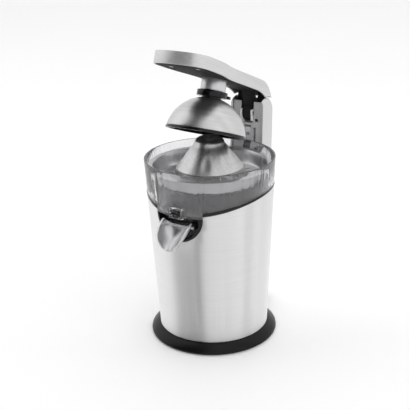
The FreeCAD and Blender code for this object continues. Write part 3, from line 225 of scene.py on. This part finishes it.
# ---- base -------------------------------------------------------------------------------------
# A moulded ring of black semi-gloss plastic with a closing plate, screws and a rubber foot ring.
# The cord's grommet sits in a small lobe at the back.


def rounded(node, finish, width=0.0, steps=2, sharp=35):
    """A copy of a CAD piece with its edges broken, as moulding or tumbling leaves them."""
    source = frame["nodes"][node]
    shape = bmesh.new()
    shape.from_mesh(source.data)
    bmesh.ops.remove_doubles(shape, verts=shape.verts, dist=0.000002)
    if width:
        bmesh.ops.dissolve_limit(shape, angle_limit=math.radians(0.5), verts=shape.verts,
                                 edges=shape.edges)
        edges = [edge for edge in shape.edges
                 if edge.is_manifold and abs(edge.calc_face_angle(0)) > math.radians(sharp)]
        bmesh.ops.bevel(shape, geom=edges, offset=width, offset_type="OFFSET", segments=steps,
                        profile=0.5, affect="EDGES", clamp_overlap=True, material=-1)
    piece = finished(shape, node.replace("_", "-"), finish)
    body = next(name for name, nodes in frame["record"]["behaviour"]["bodies"].items() if node in nodes)
    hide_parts(node)
    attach(piece, body)


def finished(shape, name, finish, sharp=32):
    """Turn a bmesh into an object with smooth faces and crisp edges."""
    for face in shape.faces:
        face.smooth = True
    for edge in shape.edges:
        edge.smooth = len(edge.link_faces) == 2 and edge.calc_face_angle(0) < math.radians(sharp)
    data = bpy.data.meshes.new(name)
    shape.to_mesh(data)
    shape.free()
    piece = bpy.data.objects.new(name, data)
    bpy.context.scene.collection.objects.link(piece)
    data.materials.append(finish.material)
    return piece


def dress(finish, *nodes):
    """Give CAD pieces their finish."""
    for node in nodes:
        slots = frame["nodes"][node].data.materials
        slots.clear()
        slots.append(finish.material)


base_black = Finish("base_black", (0.007, 0.007, 0.008), 0.3, Specular_IOR_Level=0.16)
grain = base_black.noise(base_black.place, 900.0, 3.0)
base_black.drive("Roughness", grain * 0.10 + 0.24)
base_black.bump(grain, 0.12, 0.0003)
rounded("base_ring", base_black, 0.0008)
dress(base_black, "base_plate")
rubber = Finish("rubber", (0.03, 0.03, 0.03), 0.8)
rubber_grain = rubber.noise(rubber.place, 1600.0, 2.0)
rubber.drive("Roughness", rubber_grain * 0.2 + 0.65)
rubber.bump(rubber_grain, 0.3, 0.0004)
rounded("foot_ring", rubber, 0.0005)
rounded("cord_inlet", rubber, 0.0004)
dress(rubber, "shaft_seal")
zinc = Finish("bright_zinc", (0.60, 0.60, 0.61), 0.25, 1.0)
zinc.drive("Roughness", zinc.noise(zinc.place, 700.0, 2.0) * 0.2 + 0.16)
dress(zinc, "base_screws", "case_screws", "motor_screws", "gear_circlip", "idler_axle", "motor_pinion",
      "drive_spindle", "column_screws", "hinge_pin", "guide_rods", "carriage_screw", "crank_pin",
      "arm_screws", "neck_bolt", "spout_pin")


# ---- body sleeve ------------------------------------------------------------------------------
# A tapered sleeve of stainless sheet, finely brushed round its girth, with a black band that
# follows its cut upper edge and a black shield behind the drip spout.
sleeve_steel = Finish("sleeve_steel", (0.80, 0.80, 0.81), 0.3, 1.0, Anisotropic=1.0,
                      Anisotropic_Rotation=0.25)
lines = sleeve_steel.noise(sleeve_steel.stretched((14, 14, 3600)), 1.0, 3.0, 0.6)
patches = sleeve_steel.noise(sleeve_steel.stretched((30, 30, 8)), 1.0, 2.0)
sleeve_tone = lines * 0.7 + patches * 0.3
sleeve_steel.drive("Base Color", sleeve_steel.ramp(sleeve_tone, (0.25, 0.80), (0.75, 0.94)))
sleeve_steel.drive("Roughness", lines * 0.14 + 0.38)
sleeve_steel.bump(lines, 0.08, 0.0002)
rounded("body_sleeve", sleeve_steel, 0.0003)
trim_black = Finish("trim_black", (0.006, 0.006, 0.007), 0.12, Specular_IOR_Level=0.3)
trim_black.drive("Roughness", trim_black.noise(trim_black.place, 260.0, 3.0) * 0.10 + 0.08)
rounded("deck_trim", trim_black, 0.0005)
rounded("spout_shield", trim_black, 0.0006)


# ---- works inside the body --------------------------------------------------------------------
# The chassis, the geared motor and the switch, seen only when the shell is taken off, in matt
# moulded plastic, plated steel, natural acetal and sintered bronze.
dark_plastic = Finish("dark_plastic", (0.05, 0.05, 0.053), 0.5)
dark_plastic.drive("Roughness", dark_plastic.noise(dark_plastic.place, 1200.0, 2.0) * 0.2 + 0.4)
dress(dark_plastic, "chassis", "gear_case", "gear_cover", "motor_end_cap", "motor_deck", "micro_switch",
      "dome_liner")
motor_steel = Finish("motor_steel", (0.55, 0.56, 0.57), 0.35, 1.0)
motor_steel.drive("Roughness", motor_steel.noise(motor_steel.stretched((60, 60, 900)), 1.0) * 0.25 + 0.2)
dress(motor_steel, "motor_can")
acetal = Finish("acetal", (0.80, 0.78, 0.70), 0.4)
acetal.drive("Roughness", acetal.noise(acetal.place, 500.0) * 0.15 + 0.33)
dress(acetal, "output_gear", "idler_gear", "thrust_button", "switch_plunger")
bronze = Finish("sintered_bronze", (0.50, 0.34, 0.16), 0.4, 1.0)
bronze.drive("Roughness", bronze.noise(bronze.place, 2500.0, 2.0) * 0.3 + 0.3)
dress(bronze, "spindle_bush", "hinge_bushes")
spring_wire = Finish("spring_wire", (0.45, 0.45, 0.46), 0.28, 1.0)
spring_wire.drive("Roughness", spring_wire.noise(spring_wire.place, 1500.0) * 0.2 + 0.2)
dress(spring_wire, "return_spring", "lift_springs")


# ---- drip spout -------------------------------------------------------------------------------
# A satin silver scoop on a pin, which flips up to stop the last drops.
spout_silver = Finish("spout_silver", (0.64, 0.64, 0.65), 0.3, 0.9)
spout_silver.drive("Roughness", spout_silver.noise(spout_silver.place, 900.0, 2.0) * 0.12 + 0.30)
rounded("drip_spout", spout_silver, 0.0005)


# ---- juice bowl and strainer ------------------------------------------------------------------
# A clear moulded bowl with a chimney for the spindle, and a pressed steel strainer that hangs in
# it by its flange.
bowl_clear = Finish("bowl_clear", (0.90, 0.905, 0.915), 0.04, Transmission_Weight=0.94, IOR=1.45)
bowl_clear.drive("Roughness", bowl_clear.noise(bowl_clear.place, 120.0, 2.0) * 0.05 + 0.02)
rounded("juice_bowl", bowl_clear, 0.0004)
strainer_steel = Finish("strainer_steel", (0.52, 0.52, 0.53), 0.26, 1.0)
turning = strainer_steel.noise(strainer_steel.stretched((90, 90, 200)), 1.0, 3.0)
strainer_steel.drive("Roughness", turning * 0.12 + 0.24)
rounded("strainer", strainer_steel, 0.00025)


# ---- reamer -----------------------------------------------------------------------------------
# A pressed stainless cone with eight shallow flutes, brushed from rim to tip, on a black hub.
reamer_steel = Finish("reamer_steel", (0.66, 0.66, 0.67), 0.24, 1.0)
strokes = reamer_steel.noise(reamer_steel.stretched((420, 420, 14)), 1.0, 2.0, 0.5)
reamer_steel.drive("Base Color", reamer_steel.ramp(strokes, (0.3, 0.48), (0.7, 0.60)))
reamer_steel.drive("Roughness", strokes * 0.14 + 0.30)
reamer_steel.bump(strokes, 0.015, 0.0002)
reamer_low, reamer_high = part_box("reamer_cone")
reamer_rim = reamer_high.x
groove_rise = 0.0065
groove_width = 0.0008
groove_depth = 0.0006
rim_edge = 0.0012
skin = 0.0009
nose_radius = 0.0185
nose_rise = 0.009
flute_count = 8
flute_depth = 0.0015
side_top = Vector((nose_radius, reamer_high.z - nose_rise))
side_foot = Vector((reamer_rim - 0.0018, reamer_low.z + groove_rise))


def reamer_outline(inset):
    """Half section of the cone from its rim to its tip, moved in by inset."""
    line = [(reamer_rim - inset, reamer_low.z),
            (reamer_rim - inset, reamer_low.z + rim_edge),
            (side_foot.x + 0.0002 - inset, side_foot.y - groove_width - 0.0003),
            (side_foot.x - groove_depth - inset, side_foot.y - groove_width),
            (side_foot.x - inset, side_foot.y)]
    line += [tuple(side_foot.lerp(side_top, step / 10) - Vector((inset, 0))) for step in range(1, 10)]
    for step in range(9):
        turn = math.radians(90 * step / 8)
        line.append(((side_top.x - inset) * math.cos(turn) ** 0.8,
                     side_top.y + (nose_rise - inset) * math.sin(turn)))
    line[-1] = (0.0, reamer_high.z - inset)
    return line


cone = bmesh.new()
rim_to_tip = reamer_outline(0.0)
tip_to_rim = reamer_outline(skin)[::-1]
corners = [cone.verts.new((reach, 0, height)) for reach, height in rim_to_tip + tip_to_rim]
edges = [cone.edges.new((corners[i], corners[(i + 1) % len(corners)])) for i in range(len(corners))]
edges = [e for e in edges if max(v.co.x for v in e.verts) > 0.0001]
bmesh.ops.spin(cone, geom=edges + corners, cent=(0, 0, 0), axis=(0, 0, 1), angle=2 * math.pi, steps=160,
               use_merge=True)
bmesh.ops.remove_doubles(cone, verts=cone.verts, dist=0.00001)
for vertex in cone.verts:
    share = (vertex.co.z - side_foot.y) / (reamer_high.z - side_foot.y)
    if 0 < share < 1:
        lobe = 0.5 + 0.5 * math.cos(flute_count * math.atan2(vertex.co.y, vertex.co.x))
        swell = math.sin(math.pi * min(1, share * 1.6 + 0.12)) if share < 0.55 else 1 - share
        reach = Vector((vertex.co.x, vertex.co.y, 0))
        if reach.length > 0.001:
            vertex.co -= reach.normalized() * flute_depth * max(0.0, swell) * (1 - lobe) ** 2
bmesh.ops.recalc_face_normals(cone, faces=cone.faces)
reamer = finished(cone, "reamer-cone", reamer_steel)
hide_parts("reamer_cone")
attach(reamer, "reamer")
rounded("reamer_hub", base_black, 0.0005)


# ---- column -----------------------------------------------------------------------------------
# A satin silver fork stands up behind the bowl, with a textured grey panel, a black foot block
# and the sprung carriage that the lever's crank pin lifts.
shell_silver = Finish("shell_silver", (0.68, 0.69, 0.70), 0.34, 0.85, Coat_Weight=0.15,
                      Coat_Roughness=0.25)
flake = shell_silver.noise(shell_silver.place, 2600.0, 2.0)
shell_silver.drive("Base Color", shell_silver.ramp(flake, (0.3, 0.60), (0.7, 0.67)))
shell_silver.drive("Roughness", flake * 0.10 + 0.36)
shell_silver.bump(flake, 0.05, 0.0001)
rounded("column_shell", shell_silver, 0.0009, 3)
panel_grey = Finish("panel_grey", (0.56, 0.565, 0.57), 0.5)
cells = panel_grey.add("ShaderNodeTexVoronoi", {}, {"Vector": panel_grey.place, "Scale": 900.0})
panel_grey.drive("Roughness", cells * 0.2 + 0.42)
panel_grey.bump(cells, 0.35, 0.0004)
rounded("column_panel", panel_grey, 0.0004)
rounded("column_foot", base_black, 0.0006)
carriage_grey = Finish("carriage_grey", (0.90, 0.90, 0.90), 0.42)
carriage_grey.drive("Roughness", carriage_grey.noise(carriage_grey.place, 1400.0) * 0.15 + 0.35)
rounded("lift_carriage", carriage_grey, 0.0003)


# ---- lever ------------------------------------------------------------------------------------
# The paddle-shaped lever is a silver shell closed from below by a charcoal moulding, with a
# satin neck that carries the press dome.
hinge = Vector(next(j["pos_m"] for j in frame["joints"] if j["name"] == "arm_hinge"))
twist_axis = Vector(next(j["axis"] for j in frame["joints"] if j["name"] == "cup_twist"))
tilt = math.atan2(twist_axis.y, twist_axis.z)


def lowered(finish):
    """The place on the object as it is with the lever pulled down, level."""
    shift = hinge - Matrix.Rotation(tilt, 3, "X") @ hinge
    return finish.add("ShaderNodeMapping", {}, {"Vector": finish.place, "Rotation": (tilt, 0, 0),
                                                "Location": shift})


lever_silver = Finish("lever_silver", (0.72, 0.72, 0.73), 0.34, 0.9)
drawn = lever_silver.noise(lever_silver.stretched((160, 9, 1500), lowered(lever_silver)), 1.0, 3.0, 0.6)
lever_silver.drive("Base Color", lever_silver.ramp(drawn, (0.3, 0.58), (0.7, 0.72)))
lever_silver.drive("Roughness", drawn * 0.14 + 0.38)
lever_silver.bump(drawn, 0.08, 0.0002)
rounded("arm_shell", lever_silver, 0.0018, 4)
charcoal = Finish("charcoal", (0.020, 0.020, 0.021), 0.75, Specular_IOR_Level=0.12)
pits = charcoal.noise(charcoal.place, 2200.0, 2.0)
charcoal.drive("Roughness", pits * 0.15 + 0.65)
charcoal.bump(pits, 0.3, 0.0003)
rounded("arm_underside", charcoal, 0.0006)
rounded("cup_neck", spout_silver, 0.0004)


# ---- press dome -------------------------------------------------------------------------------
# A spun stainless dome with a liner and a dark rim band, on a black collar that twists to let
# go of the neck.
dome_steel = Finish("dome_steel", (0.70, 0.70, 0.71), 0.26, 1.0)
across, along, up = dome_steel.split(lowered(dome_steel))
reach = (across * across + along * along) ** 0.5
rings = dome_steel.add("ShaderNodeCombineXYZ", {}, {"X": across * 12, "Y": along * 12,
                                                    "Z": (reach + up) * 2600})
turned_lines = dome_steel.noise(rings, 1.0, 3.0, 0.6)
dome_steel.drive("Base Color", dome_steel.ramp(turned_lines, (0.25, 0.52), (0.75, 0.66)))
dome_steel.drive("Roughness", turned_lines * 0.14 + 0.30)
dome_steel.bump(turned_lines, 0.06, 0.0002)
rounded("press_dome", dome_steel, 0.0002)
rounded("cup_collar", trim_black, 0.0005)
rounded("dome_rim_trim", trim_black, 0.0005)
